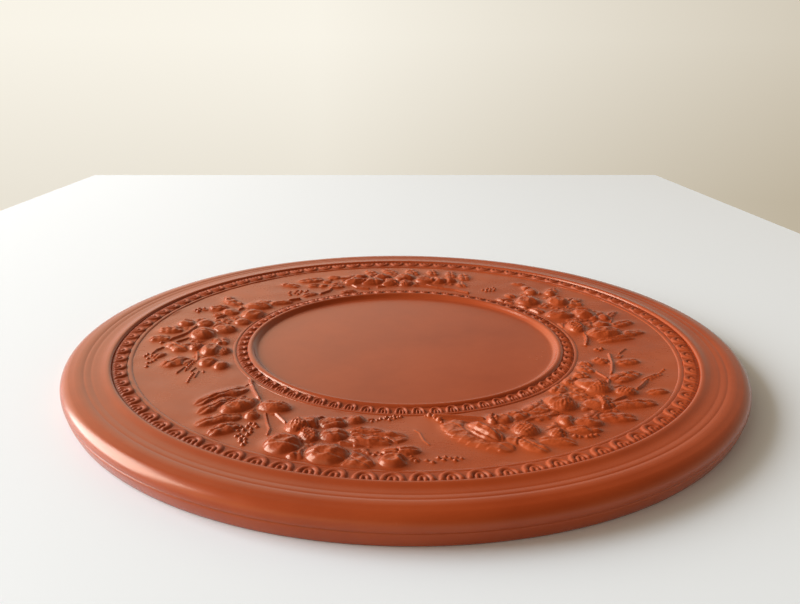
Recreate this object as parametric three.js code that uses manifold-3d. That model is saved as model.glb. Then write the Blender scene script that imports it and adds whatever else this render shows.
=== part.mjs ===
// A plate of red slip-coated clay: a dish turned on a wheel, with two pressed bands of eggs and
// five applied sprays of fruit, cones and leaves between them, all fired as one piece.
// Sizes are millimetres and angles degrees. The origin is the middle of the footprint, +Z is up,
// and the side that faces the viewer is -Y, at 270 degrees.
import * as THREE from "three";
import { mergeVertices } from "three/addons/utils/BufferGeometryUtils.js";
import Module from "manifold-3d";

const wasm = await Module();
wasm.setup();

// Driving sizes of the dish.
const PLATE_RADIUS = 155;
const FACETS = 44;
const FIELD = { radius: 71, top: 7 };
const INNER_BEAD = { start: 73, end: 75, crest: 9.4 };
const INNER_EGGS = { start: 76, end: 80.4, ground: 8.2, rise: 0.9, count: 73 };
const THIN_BEAD_IN = { radius: 81.3, crest: 9.2 };
const FRIEZE = { start: 82.4, end: 125.8, low: 8.2, high: 10 };
const THIN_BEAD_OUT = { radius: 127.1, crest: 11 };
const OUTER_EGGS = { start: 128.3, end: 134, ground: 10.1, rise: 1.1, count: 88 };
const FLANGE_BEAD = { start: 134.6, end: 136.6, crest: 12.0 };
const FLANGE = { start: 138.2, end: 145.6, top: 11.4 };
const SIDE_GROOVE = { radius: 154.2, height: 5.75 };
const SIDE_RIDGE = { radius: 154.6, height: 5.2 };
const FOOT = { outer: 151.8, inner: 145.5, recess: 1.4 };
const ROLL = { crestRadius: 149.2, crest: 11.95, bulge: 7.2, spans: 3 }; // the round rim
const GROOVE_EDGE = { inset: 0.1, above: 0.7 }; // where the side wall turns in to the groove
const EGG_HALF_WIDTH = 0.34; // share of the distance from one egg to the next
const EGG_TIP_INSET = 0.35; // how far the round end stands off the start of its band

// Driving sizes of the applied sprays: how far each kind of form stands above the ground.
const RISE = { fruit: 0.35, cone: 0.36, leaf: 0.26, stem: 1.1, berry: 1.2 };
const SPANS = { fruit: 3, cone: 5, leaf: 3 }; // rows of facets along a form
const SIDES = { fruit: 6, cone: 6, leaf: 4 }; // facets round it
const MOST_RISE = 4.5;
const LEAST_RISE = 1.3;
const SUNK = 0.35; // how far below the ground each form reaches, so that it joins the dish
const WELD = 0.001; // corners closer than this are one

const CLAY = new THREE.MeshStandardMaterial({ color: 0xb4603e, roughness: 0.32, metalness: 0 });

// The outline that is turned: over the upper face to the rim, then back under the dish.
function dishOutline() {
  return [
    [0, FIELD.top],
    [FIELD.radius, FIELD.top],
    [INNER_BEAD.start, INNER_BEAD.crest],
    [INNER_BEAD.end, INNER_BEAD.crest],
    [INNER_EGGS.start, INNER_EGGS.ground],
    [INNER_EGGS.end, INNER_EGGS.ground],
    [THIN_BEAD_IN.radius, THIN_BEAD_IN.crest],
    [FRIEZE.start, FRIEZE.low],
    [FRIEZE.end, FRIEZE.high],
    [THIN_BEAD_OUT.radius, THIN_BEAD_OUT.crest],
    [OUTER_EGGS.start, OUTER_EGGS.ground],
    [OUTER_EGGS.end, OUTER_EGGS.ground],
    [FLANGE_BEAD.start, FLANGE_BEAD.crest],
    [FLANGE_BEAD.end, FLANGE_BEAD.crest],
    [FLANGE.start, FLANGE.top],
    [FLANGE.end, FLANGE.top],
    ...rollOutline(),
    [PLATE_RADIUS - GROOVE_EDGE.inset, SIDE_GROOVE.height + GROOVE_EDGE.above],
    [SIDE_GROOVE.radius, SIDE_GROOVE.height],
    [SIDE_RIDGE.radius, SIDE_RIDGE.height],
    [FOOT.outer, 0],
    [FOOT.inner, 0],
    [FOOT.inner - FOOT.recess, FOOT.recess],
    [0, FOOT.recess],
  ];
}

// The broad round rim: a quarter of an ellipse from its crest out to the widest place.
function rollOutline() {
  const points = [];
  for (let i = 0; i <= ROLL.spans; i += 1) {
    const turn = (i / ROLL.spans) * (Math.PI / 2);
    const radius = ROLL.crestRadius + (PLATE_RADIUS - ROLL.crestRadius) * Math.sin(turn);
    const height = ROLL.bulge + (ROLL.crest - ROLL.bulge) * Math.cos(turn);
    points.push([radius, height]);
  }
  return points;
}

// A closed geometry as a solid that can be joined.
// Corners that meet at an axis leave empty triangles, which go.
function solidOf(geometry, place = new THREE.Matrix4()) {
  const loose = geometry.index ? geometry.toNonIndexed() : geometry;
  const bare = new THREE.BufferGeometry();
  bare.setAttribute("position", loose.getAttribute("position").clone());
  const merged = mergeVertices(bare.applyMatrix4(place), WELD);
  const corners = merged.index.array;
  const kept = [];
  for (let i = 0; i < corners.length; i += 3) {
    const [a, b, c] = [corners[i], corners[i + 1], corners[i + 2]];
    if (a !== b && b !== c && c !== a) kept.push(a, b, c);
  }
  return new wasm.Manifold(
    new wasm.Mesh({
      numProp: 3,
      vertProperties: merged.getAttribute("position").array,
      triVerts: new Uint32Array(kept),
    }),
  );
}

function dish() {
  const outline = dishOutline().map(([radius, height]) => new THREE.Vector2(radius, height));
  const turned = new THREE.LatheGeometry(outline.reverse(), FACETS);
  return solidOf(turned, new THREE.Matrix4().makeRotationX(Math.PI / 2));
}

// The height of the frieze's ground, which dishes gently towards the middle.
function groundHeight(radius) {
  const share = (radius - FRIEZE.start) / (FRIEZE.end - FRIEZE.start);
  return FRIEZE.low + (FRIEZE.high - FRIEZE.low) * share;
}

function onPlate([angle, radius], height = groundHeight(radius)) {
  const turn = THREE.MathUtils.degToRad(angle);
  return new THREE.Vector3(radius * Math.cos(turn), radius * Math.sin(turn), height);
}

// One egg of a band: its round end is towards the middle of the plate, its foot at the outer wall.
function egg(band) {
  const halfWidth = (EGG_HALF_WIDTH * 2 * Math.PI * band.start) / band.count;
  const tip = band.start + EGG_TIP_INSET;
  const shape = new THREE.Shape();
  shape.moveTo(band.end + SUNK, -halfWidth);
  shape.lineTo(band.end + SUNK, halfWidth);
  shape.lineTo(tip + halfWidth, halfWidth);
  shape.lineTo(tip, 0);
  shape.lineTo(tip + halfWidth, -halfWidth);
  return new THREE.ExtrudeGeometry(shape, { depth: band.rise + SUNK, bevelEnabled: false });
}

function eggBand(band) {
  const single = egg(band);
  const eggs = [];
  for (let i = 0; i < band.count; i += 1) {
    const place = new THREE.Matrix4().makeRotationZ((i / band.count) * 2 * Math.PI);
    place.setPosition(0, 0, band.ground - SUNK);
    eggs.push(solidOf(single, place));
  }
  return eggs;
}

// Half-widths along a form, from its stalk end at 0 to its tip at 1, as shares of its full half-width.
const LEAF_OUTLINE = { swell: 0.85, fullness: 0.9 }; // widest a little before the middle
const CONE_WAVES = { depth: 0.06, count: 5 }; // rows of scales round a cone
const leafHalf = (along) => Math.sin(Math.PI * along ** LEAF_OUTLINE.swell) ** LEAF_OUTLINE.fullness;
const fruitHalf = (along) => Math.sqrt(Math.max(0, 1 - (2 * along - 1) ** 2));
const coneHalf = (along) =>
  fruitHalf(along) * (1 + CONE_WAVES.depth * Math.cos(2 * Math.PI * CONE_WAVES.count * along));

// A low body that lies on the ground from one place to another, round or ridged by its number of sides.
function lyingBody(kind, from, to, width, half) {
  const spans = SPANS[kind];
  const start = onPlate(from);
  const end = onPlate(to);
  const length = start.distanceTo(end);
  const outline = [];
  for (let i = 0; i <= spans; i += 1) {
    const along = (1 - Math.cos((Math.PI * i) / spans)) / 2;
    const halfWidth = i === 0 || i === spans ? 0 : (half(along) * width) / 2;
    outline.push(new THREE.Vector2(halfWidth, along * length));
  }
  const body = new THREE.LatheGeometry(outline, SIDES[kind]);
  const along = end.clone().sub(start).normalize();
  const across = new THREE.Vector3(0, 0, 1).cross(along).normalize();
  const down = across.clone().cross(along);
  const rise = THREE.MathUtils.clamp(RISE[kind] * width, LEAST_RISE, MOST_RISE);
  const flattening = (rise + SUNK) / (width / 2);
  const place = new THREE.Matrix4().makeBasis(across, along, down.multiplyScalar(flattening));
  place.setPosition(start.x, start.y, start.z - SUNK);
  return solidOf(body, place);
}

const fruit = (from, to, width) => lyingBody("fruit", from, to, width, fruitHalf);
const cone = (from, to, width) => lyingBody("cone", from, to, width, coneHalf);
const leaf = (from, to, width) => lyingBody("leaf", from, to, width, leafHalf);

// A round fruit, drawn as a body as long as it is wide, lying along the radius.
function roundFruit([angle, radius], width) {
  return fruit([angle, radius - width / 2], [angle, radius + width / 2], width);
}

function berry(spot, width = 3) {
  const seat = onPlate(spot);
  const place = new THREE.Matrix4().makeScale(width / 2, width / 2, RISE.berry + SUNK);
  place.setPosition(seat.x, seat.y, seat.z - SUNK);
  return solidOf(new THREE.OctahedronGeometry(1, 0), place);
}

// Berries along a line between two places, alternately to its left and right.
function berryRow(from, to, count, stray = 1.2) {
  const row = [];
  for (let i = 0; i < count; i += 1) {
    const share = count > 1 ? i / (count - 1) : 0;
    const angle = THREE.MathUtils.lerp(from[0], to[0], share);
    const radius = THREE.MathUtils.lerp(from[1], to[1], share);
    row.push(berry([angle, radius + (i % 2 ? stray : -stray)]));
  }
  return row;
}

function stem(places, width = 2) {
  const curve = new THREE.CatmullRomCurve3(places.map((place) => onPlate(place)));
  const section = new THREE.Shape();
  section.moveTo(RISE.stem, 0);
  section.lineTo(0, width / 2);
  section.lineTo(-RISE.stem, 0);
  section.lineTo(0, -width / 2);
  section.closePath();
  const steps = places.length + 1;
  return solidOf(
    new THREE.ExtrudeGeometry(section, { steps, extrudePath: curve, bevelEnabled: false }),
  );
}

function frontLeftSpray() {
  return [
    stem([[217, 83.5], [225, 88], [233, 94.5], [240, 99], [247, 105]]),
    stem([[235.8, 98], [239, 104], [243, 112]]),
    leaf([220.6, 86], [223, 113], 9.5),
    leaf([233.4, 106], [230.2, 123], 7.5),
    leaf([236, 111.5], [234.8, 125], 7),
    leaf([250.8, 116.5], [252.6, 125.5], 7.5),
    leaf([255.5, 107], [269.4, 100.8], 15),
    leaf([259.4, 118], [264, 125.5], 8.5),
    leaf([266, 114], [271.9, 111.4], 6.5),
    fruit([229.5, 110], [229.8, 92], 10.4),
    fruit([232.3, 95.8], [240, 90], 10.4),
    fruit([234.3, 106.4], [236.6, 101.8], 6.5),
    cone([245.4, 107.2], [251, 91.6], 12.5),
    roundFruit([250.7, 107.5], 10),
    fruit([250.4, 98.8], [256, 91.4], 9.5),
    fruit([255.6, 93], [259.3, 86.6], 6.7),
    fruit([252.4, 106.8], [258.2, 102.6], 10.8),
    fruit([244.9, 120.2], [251.2, 114.6], 15.5),
    fruit([252.6, 119.4], [260.3, 119.4], 14.3),
    fruit([265.4, 120.4], [269.8, 120.2], 9.3),
    ...berryRow([238, 109], [241, 122], 4, 2),
  ];
}

function frontRightSpray() {
  return [
    stem([[275.2, 83.5], [283, 87], [288, 90], [293, 97]]),
    stem([[316, 109], [323, 110.5], [334, 114]]),
    stem([[326, 101], [334.8, 99], [348.8, 96.3]]),
    leaf([279, 89], [288, 118.5], 15),
    leaf([299.5, 93], [310, 88.5], 9),
    leaf([290, 106.5], [291.8, 118.5], 9),
    leaf([294, 113.5], [299.4, 123], 7),
    leaf([301.2, 112], [307, 120], 7.5),
    leaf([310.4, 112], [315.3, 123.5], 8),
    leaf([316.3, 110], [323.8, 124], 8),
    leaf([329.6, 101.5], [338.2, 110], 9),
    leaf([341.8, 99.6], [345.2, 110], 7),
    leaf([342, 96.2], [344, 88.8], 6.5),
    fruit([287.8, 110.5], [283.9, 92.5], 9.7),
    roundFruit([290.7, 92.2], 9.5),
    fruit([290.8, 92], [295, 95.4], 8),
    fruit([291.6, 103.6], [296.8, 107.6], 11.2),
    fruit([297, 111.4], [300.4, 114.8], 8),
    fruit([302.4, 104.8], [305.8, 108.6], 10.2),
    fruit([304.8, 109], [308.9, 117.2], 8),
    fruit([324, 105.4], [326.9, 113.4], 8),
    cone([317.9, 110], [313.2, 101], 11.2),
    cone([309.3, 102.2], [310.5, 87], 13),
    cone([323.6, 104.4], [325.4, 87.4], 13),
    ...berryRow([301, 118.5], [304, 121.5], 3),
  ];
}

function rightSpray() {
  return [
    stem([[356, 87], [5, 90], [12, 94]]),
    stem([[11, 108], [15, 112], [17, 116]]),
    leaf([358.4, 93], [360.7, 113], 7),
    leaf([1, 96], [4.6, 120.5], 8),
    leaf([9.4, 106.5], [11.7, 121], 7),
    leaf([28.2, 85], [35.6, 84.4], 6),
    leaf([27.4, 107.5], [34.8, 113.2], 8.5),
    leaf([40.2, 111.5], [43.2, 121], 6),
    leaf([44.4, 86.6], [51.6, 84], 6),
    fruit([4.2, 90.5], [5.4, 109], 13),
    fruit([12, 98.4], [11, 107.6], 8),
    fruit([12.1, 84], [11, 93.6], 14),
    fruit([17.8, 102], [16, 112], 7.5),
    fruit([22.8, 97], [20, 108.2], 14),
    fruit([27.2, 84.4], [20.9, 96.6], 10.8),
    fruit([35.8, 98], [32.4, 109.2], 13.6),
    fruit([41.8, 108.6], [39.6, 114.2], 8.6),
    fruit([43.5, 86], [37.8, 97.4], 13.4),
    fruit([47, 102.2], [44, 108], 8.8),
    ...berryRow([57, 95], [60, 98], 3),
  ];
}

function backSpray() {
  return [
    stem([[64, 84], [77, 88], [90, 90], [100, 88.5]]),
    leaf([69, 106], [72, 119], 7),
    leaf([80, 110.5], [81.8, 121.5], 6.5),
    leaf([86, 109], [88.5, 122], 7.5),
    leaf([92.5, 110], [96, 123], 7),
    leaf([99, 109], [101, 121.5], 6.5),
    leaf([111.8, 95], [118.2, 95], 6.5),
    leaf([115.8, 111.5], [124.4, 113], 7.5),
    leaf([126, 104], [130, 115], 6),
    fruit([75, 97], [75, 106], 11.8),
    fruit([78.5, 94.4], [78.5, 103.4], 11.8),
    fruit([82.6, 93.8], [82.4, 102.8], 11.6),
    fruit([87.3, 99], [91.6, 108], 12.8),
    fruit([86.5, 91.4], [92, 95.2], 9.8),
    fruit([93.4, 99], [97.6, 89.4], 11.6),
    fruit([101.5, 91.2], [101.6, 102.8], 15),
    fruit([96.8, 101.4], [97.2, 109.4], 10.4),
    fruit([107, 94.6], [107.2, 104.4], 13),
    fruit([103.6, 105.2], [104.4, 112], 8),
    ...berryRow([127, 95.5], [132, 97.5], 3),
  ];
}

function leftSpray() {
  return [
    stem([[134, 86], [140, 88], [147, 92]]),
    stem([[147, 96], [157, 98], [165, 101]]),
    stem([[170, 106], [178, 107], [185, 116]]),
    leaf([151.4, 101], [148.2, 117.5], 7),
    leaf([155.3, 103.6], [159.2, 113], 7.2),
    leaf([174.9, 110.5], [177.6, 122], 8.6),
    leaf([181.4, 113], [183.4, 123], 7.2),
    leaf([190.9, 102], [184.6, 112.6], 7.4),
    leaf([195.5, 101.8], [199.9, 114], 8.6),
    leaf([180, 90.5], [186.5, 87], 7),
    fruit([151.4, 100], [146, 86.6], 9.3),
    fruit([159, 104.6], [157.7, 94.2], 7.8),
    fruit([160.2, 91.4], [153.2, 83.6], 10.8),
    fruit([166.6, 90], [162.6, 84], 7.8),
    fruit([171.6, 116.4], [170.7, 107.6], 8.6),
    fruit([170.7, 107.6], [169.1, 98.8], 8.6),
    fruit([173.6, 97], [172.2, 84.8], 10.2),
    fruit([178.5, 105.4], [178.2, 93], 13),
    fruit([188.1, 102.6], [188.7, 95.4], 8),
    fruit([190.4, 97], [191.7, 87], 11.9),
    fruit([198.8, 98], [200.6, 89.8], 9.7),
    fruit([202.3, 92.2], [204.2, 86], 8.2),
    ...berryRow([159, 115.5], [161.4, 117], 3),
    ...berryRow([193, 119], [198, 119.5], 3),
    ...berryRow([203.5, 104.5], [209.5, 104.5], 3),
  ];
}

function plateSolid() {
  return wasm.Manifold.union([
    dish(),
    ...eggBand(INNER_EGGS),
    ...eggBand(OUTER_EGGS),
    ...frontLeftSpray(),
    ...frontRightSpray(),
    ...rightSpray(),
    ...backSpray(),
    ...leftSpray(),
  ]);
}

// A solid back to a geometry that a mesh can hold.
function geometryOf(solid) {
  const made = solid.getMesh();
  const geometry = new THREE.BufferGeometry();
  geometry.setAttribute("position", new THREE.BufferAttribute(made.vertProperties, 3));
  geometry.setIndex(new THREE.BufferAttribute(made.triVerts, 1));
  geometry.computeVertexNormals();
  return geometry;
}

const plate = new THREE.Mesh(geometryOf(plateSolid()), CLAY);
plate.name = "plate";

const part = new THREE.Group();
part.add(plate);

export default part;
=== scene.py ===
import math

import bpy
import numpy as np
from mathutils import Matrix, Vector


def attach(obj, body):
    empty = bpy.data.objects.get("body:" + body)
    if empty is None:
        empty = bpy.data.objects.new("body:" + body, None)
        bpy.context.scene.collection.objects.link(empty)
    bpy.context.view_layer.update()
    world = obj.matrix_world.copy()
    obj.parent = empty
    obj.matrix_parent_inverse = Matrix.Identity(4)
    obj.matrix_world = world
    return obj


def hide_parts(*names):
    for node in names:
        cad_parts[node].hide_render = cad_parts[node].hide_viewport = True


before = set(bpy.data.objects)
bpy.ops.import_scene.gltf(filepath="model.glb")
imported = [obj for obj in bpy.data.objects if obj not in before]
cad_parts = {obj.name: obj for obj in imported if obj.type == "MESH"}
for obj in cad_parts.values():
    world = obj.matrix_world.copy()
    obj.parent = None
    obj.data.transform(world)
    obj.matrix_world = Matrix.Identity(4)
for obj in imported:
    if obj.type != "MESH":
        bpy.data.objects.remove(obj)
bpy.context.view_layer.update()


# The table and the room.
# A pale plain table top runs back to a far edge, and beyond it is a cream wall.
# A big window to the left lights them, and the bright room fills the shadows.
class Shade:
    """One shader socket, so that sums on it are written as plain arithmetic."""

    def __init__(self, tree, socket=None):
        self.tree = tree
        self.socket = socket

    def feed(self, target, value):
        if isinstance(value, Shade):
            self.tree.links.new(value.socket, target)
        else:
            target.default_value = value

    def node(self, kind, output=0, settings=None, inputs=None):
        made = self.tree.nodes.new(kind)
        for name, value in (settings or {}).items():
            setattr(made, name, value)
        for key, value in (inputs or {}).items():
            self.feed(made.inputs[key], value)
        return Shade(self.tree, made.outputs[output])

    def math(self, operation, first, second=0.0):
        return self.node("ShaderNodeMath", 0, {"operation": operation}, {0: first, 1: second})

    def __add__(self, other):
        return self.math("ADD", self, other)

    def __sub__(self, other):
        return self.math("SUBTRACT", self, other)

    def __rsub__(self, other):
        return self.math("SUBTRACT", other, self)

    def __mul__(self, other):
        return self.math("MULTIPLY", self, other)

    def __pow__(self, other):
        return self.math("POWER", self, other)

    __radd__ = __add__
    __rmul__ = __mul__

    def parts(self):
        """The three coordinates of a place or a direction."""
        split = self.node("ShaderNodeSeparateXYZ", 0, {}, {0: self}).socket.node
        return [Shade(self.tree, coordinate) for coordinate in split.outputs]

    def blend(self, first, second):
        """The colour that goes from first to second as this value goes from 0 to 1."""
        # The mix node's colour sockets are its inputs 6 and 7 and its output 2.
        return self.node("ShaderNodeMix", 2, {"data_type": "RGBA"}, {0: self, 6: first, 7: second})

    def between(self, low, high, start=0.0, end=1.0):
        """This value with low..high stretched to start..end and held there."""
        inputs = {"Value": self, "From Min": low, "From Max": high, "To Min": start, "To Max": end}
        return self.node("ShaderNodeMapRange", 0, {}, inputs)


def new_material(name):
    made = bpy.data.materials.new(name)
    made.use_nodes = True
    shader = made.node_tree.nodes["Principled BSDF"]
    return made, shader, Shade(made.node_tree)


TABLE_COLOUR = (0.755, 0.85, 0.94, 1.0)
TABLE_ROUGHNESS = 0.5
TABLE_CORNERS = ((-0.42, -2.5, 0), (0.47, -2.5, 0), (0.319, 0.607, 0), (-0.368, 0.572, 0))

table_mesh = bpy.data.meshes.new("table")
table_mesh.from_pydata(TABLE_CORNERS, [], [(0, 1, 2, 3)])
table = bpy.data.objects.new("table", table_mesh)
bpy.context.scene.collection.objects.link(table)
table_material, table_shader, _ = new_material("table_top")
table_shader.inputs["Base Color"].default_value = TABLE_COLOUR
table_shader.inputs["Roughness"].default_value = TABLE_ROUGHNESS
table_mesh.materials.append(table_material)

WALL_BRIGHT = (1.0, 0.955, 0.85, 1.0)
WALL_DIM = (0.55, 0.48, 0.365, 1.0)
CEILING_TINT = (1.0, 0.77, 0.54, 1.0)
DIMMER_TO_RIGHT = 0.75
DIMMER_BELOW = 0.3
WALL_STRENGTH = 0.95
CEILING_STRENGTH = 1.5
CEILING_FALL_TO_RIGHT = 1.16
ZENITH_SHARE = 0.35
WINDOW_WALL_STRENGTH = 0.7

# A direction in the room has parts from -1 to 1, here to the right and upwards.
world = bpy.data.worlds.new("room")
world.use_nodes = True
room = Shade(world.node_tree)
backdrop = world.node_tree.nodes["Background"]
sideways, _, upwards = room.node("ShaderNodeTexCoord", "Generated").parts()
dim_right = sideways.between(-0.1, 0.5) * DIMMER_TO_RIGHT
dimness = dim_right + upwards.between(0.02, -0.16) * DIMMER_BELOW
wall_colour = dimness.blend(WALL_BRIGHT, WALL_DIM)
room.feed(backdrop.inputs["Color"], upwards.between(0.08, 0.35).blend(wall_colour, CEILING_TINT))
overhead = CEILING_STRENGTH - sideways.between(-0.28, 0.14) * CEILING_FALL_TO_RIGHT
lower_strength = (overhead - WALL_STRENGTH) * upwards.between(0.06, 0.4) + WALL_STRENGTH
room_strength = lower_strength * upwards.between(0.42, 0.75, 1.0, ZENITH_SHARE)
by_window = sideways.between(-0.52, -0.95) * WINDOW_WALL_STRENGTH
room.feed(backdrop.inputs["Strength"], room_strength + by_window)
bpy.context.scene.world = world
bpy.context.scene.view_settings.view_transform = "Standard"

WINDOW_PLACE = Vector((-2.7, 0.45, 1.2))
WINDOW_SIDE = 2.2
WINDOW_POWER = 148.0
WINDOW_COLOUR = (0.97, 0.98, 1.0)

window_data = bpy.data.lights.new("window", "AREA")
window_data.shape = "SQUARE"
window_data.size = WINDOW_SIDE
window_data.energy = WINDOW_POWER
window_data.color = WINDOW_COLOUR
window = bpy.data.objects.new("window", window_data)
window.location = WINDOW_PLACE
window.rotation_euler = (-WINDOW_PLACE).to_track_quat("-Z", "Y").to_euler()
bpy.context.scene.collection.objects.link(window)


# The camera.
# It stands close in front of the plate and looks down on it at 18 degrees.
# Its frame is rolled by half a degree, as when it is held by hand.
EYE = Vector((-0.0046, -0.3472, 0.1404))
PITCH_DOWN = math.radians(17.99)
YAW = math.radians(0.32)
ROLL = math.radians(0.48)
SENSOR_WIDTH = 36.0
LENS = 34.24
NEAREST = 0.01

slant = math.cos(PITCH_DOWN)
ahead = Vector((math.sin(YAW) * slant, math.cos(YAW) * slant, -math.sin(PITCH_DOWN)))
level = Vector((math.cos(YAW), -math.sin(YAW), 0))
upward = level.cross(ahead)
right = math.cos(ROLL) * level + math.sin(ROLL) * upward
above = math.cos(ROLL) * upward - math.sin(ROLL) * level
camera_data = bpy.data.cameras.new("camera")
camera_data.sensor_width = SENSOR_WIDTH
camera_data.lens = LENS
camera_data.clip_start = NEAREST
camera = bpy.data.objects.new("camera", camera_data)
turn = Matrix((right, above, -ahead)).transposed().to_4x4()
camera.matrix_world = Matrix.Translation(EYE) @ turn
bpy.context.scene.collection.objects.link(camera)
bpy.context.scene.camera = camera


# The turned dish.
# One piece of fired red clay, thrown and turned on a wheel, under a glossy orange-red slip.
# Plain middle, beads round each band, flat flange, rolled lip with a grooved side, and a foot ring.
SLIP_DEEP = (0.265, 0.036, 0.0075, 1.0)
SLIP_BRIGHT = (0.34, 0.054, 0.012, 1.0)
SHEEN_TINT = (1.0, 0.8, 0.6, 1.0)
SLIP_IOR = 1.5
TURNED_ROUGHNESS = 0.24
PATCHES = {"Scale": 22.0, "Detail": 4.0, "Roughness": 0.6}
GRAIN = {"Scale": 700.0, "Detail": 3.0, "Roughness": 0.6}
RIPPLE = {"Scale": 160.0, "Detail": 2.0, "Roughness": 0.5}
GRAIN_IN_COLOUR = 0.07
COLOUR_SPAN = (0.3, 0.72)
GRAIN_IN_GLOSS = 0.04
PATCHES_IN_GLOSS = 0.14
GRAIN_RISE = 0.04
RIPPLE_RISE = 0.35
RING_PITCH = 0.0011
RING_WANDER = 0.8
RING_RISE = 0.06
BUMP_STRENGTH = 0.3
BUMP_DEPTH = 0.0001


def slip_material(name, roughness, bright=SLIP_BRIGHT, turned=False):
    """The red slip; a turned surface also has the faint rings of the wheel."""
    made, shader, shade = new_material(name)
    place = shade.node("ShaderNodeTexCoord", "Object")
    patches, grain, ripple = [
        shade.node("ShaderNodeTexNoise", 0, {}, {"Vector": place, **kind})
        for kind in (PATCHES, GRAIN, RIPPLE)
    ]
    tone = patches * (1 - GRAIN_IN_COLOUR) + grain * GRAIN_IN_COLOUR
    shade.feed(shader.inputs["Base Color"], tone.between(*COLOUR_SPAN).blend(SLIP_DEEP, bright))
    rough = roughness + (grain - 0.5) * GRAIN_IN_GLOSS + (patches - 0.5) * PATCHES_IN_GLOSS
    shade.feed(shader.inputs["Roughness"], rough)
    shader.inputs["Specular Tint"].default_value = SHEEN_TINT
    shader.inputs["IOR"].default_value = SLIP_IOR
    height = grain * GRAIN_RISE + ripple * RIPPLE_RISE
    if turned:
        across, along, lifted = place.parts()
        radius = (across * across + along * along) ** 0.5
        phase = (radius + lifted) * (math.tau / RING_PITCH) + ripple * RING_WANDER
        height = height + shade.math("SINE", phase) * RING_RISE
    bump_inputs = {"Height": height, "Strength": BUMP_STRENGTH, "Distance": BUMP_DEPTH}
    shade.feed(shader.inputs["Normal"], shade.node("ShaderNodeBump", 0, {}, bump_inputs))
    return made


MM = 0.001


def smooth_piece(name, points, faces, material, sharp=None):
    """A closed mesh from points in millimetres, as one piece of the plate.

    sharp says of each point whether an edge between two such points stays crisp.
    """
    mesh = bpy.data.meshes.new(name)
    mesh.from_pydata((np.asarray(points) * MM).tolist(), [], faces)
    mesh.polygons.foreach_set("use_smooth", [True] * len(mesh.polygons))
    if sharp is not None:
        ends = np.zeros(len(mesh.edges) * 2, np.int32)
        mesh.edges.foreach_get("vertices", ends)
        mesh.edges.foreach_set("use_edge_sharp", sharp[ends.reshape(-1, 2)].all(1))
    mesh.update()
    piece = bpy.data.objects.new(name, mesh)
    bpy.context.scene.collection.objects.link(piece)
    mesh.materials.append(material)
    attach(piece, "root")
    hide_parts("plate")


def turned_piece(name, profile, turns, material, top, bottom):
    """A solid of revolution; top and bottom are the heights of its two middle points."""
    angles = np.radians(np.arange(turns) * 360.0 / turns)
    rings = [np.stack([r * np.cos(angles), r * np.sin(angles), np.full(turns, z)], 1) for r, z in profile]
    points = np.concatenate(rings + [np.array([(0, 0, top), (0, 0, bottom)])])
    last = len(profile) * turns
    faces = []
    for i in range(turns):
        j = (i + 1) % turns
        faces.append((last, i, j))
        faces.append((last + 1, last - turns + j, last - turns + i))
        for row in range(len(profile) - 1):
            low = row * turns
            faces.append((low + i, low + turns + i, low + turns + j, low + j))
    smooth_piece(name, points, faces, material)


def arc(centre, reach, start, end, steps):
    """Points along an elliptical arc, its angles in degrees, from start to end."""
    turns = np.radians(np.linspace(start, end, steps))
    return [(centre[0] + reach[0] * math.cos(t), centre[1] + reach[1] * math.sin(t)) for t in turns]


BEAD_STEPS = 9
BEAD_FULLNESS = 0.6


def bead(start, end, crest):
    """A rounded moulding between two points of the profile, rising to crest."""
    points = []
    for step in np.linspace(0, 1, BEAD_STEPS):
        base = start[1] + (end[1] - start[1]) * step
        full = math.sin(math.pi * step) ** BEAD_FULLNESS
        points.append((start[0] + (end[0] - start[0]) * step, base + (crest - base) * full))
    return points


DISH_TURNS = 400
PLAIN_TOP = 7.0
HOLLOW_UNDER = 1.4
LIP_ROUND = arc((149.6, 7.5), (5.4, 4.1), 74, 0, 14)
dish_profile = (
    [(20, PLAIN_TOP), (45, PLAIN_TOP), (60, PLAIN_TOP), (68, PLAIN_TOP)]
    + [(70, 7.02), (70.8, 7.1), (71.3, 7.35), (71.9, 7.9)]
    + bead((72.2, 8.1), (75.9, 8.1), 9.35)
    + [(76.1, 7.4), (80.4, 7.4)]
    + bead((80.5, 8.0), (82.4, 8.2), 8.5)
    + [(82.5, 7.4), (125.5, 9.2)]
    + bead((125.6, 9.9), (128.5, 10.2), 10.5)
    + [(128.6, 9.3), (134.0, 9.3)]
    + [(134.2, 10.1), (134.35, 11.0), (134.6, 11.5), (135.0, 11.85), (135.6, 12.0)]
    + [(136.3, 11.98), (137.0, 11.84), (137.8, 11.62), (138.6, 11.46), (139.6, 11.38), (141, 11.38)]
    + [(142.2, 11.43), (142.5, 11.37), (142.8, 11.45), (144.2, 11.56), (144.9, 11.63), (145.2, 11.55)]
    + [(145.5, 11.57), (145.9, 11.7), (147, 11.82), (148.2, 11.86), (149.3, 11.76), (150.3, 11.5)]
    + LIP_ROUND
    + [(155.0, 7.4), (154.98, 6.6), (154.8, 6.15), (154.45, 5.9), (154.3, 5.75), (154.45, 5.6)]
    + [(154.6, 5.4), (154.55, 4.9), (154.35, 4.0), (154.0, 2.8), (153.55, 1.6), (153.1, 0.6)]
    + [(152.75, 0.12), (152.3, 0.0)]
    + [(148.7, 0.0), (146.1, 0.0), (145.6, 0.12), (145.1, 0.45), (144.5, 1.0), (143.8, 1.35)]
    + [(radius, HOLLOW_UNDER) for radius in (142.5, 120, 90, 60, 30)]
)
turned_slip = slip_material("slip_turned", TURNED_ROUGHNESS, turned=True)
turned_piece("dish", dish_profile, DISH_TURNS, turned_slip, PLAIN_TOP, HOLLOW_UNDER)


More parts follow.
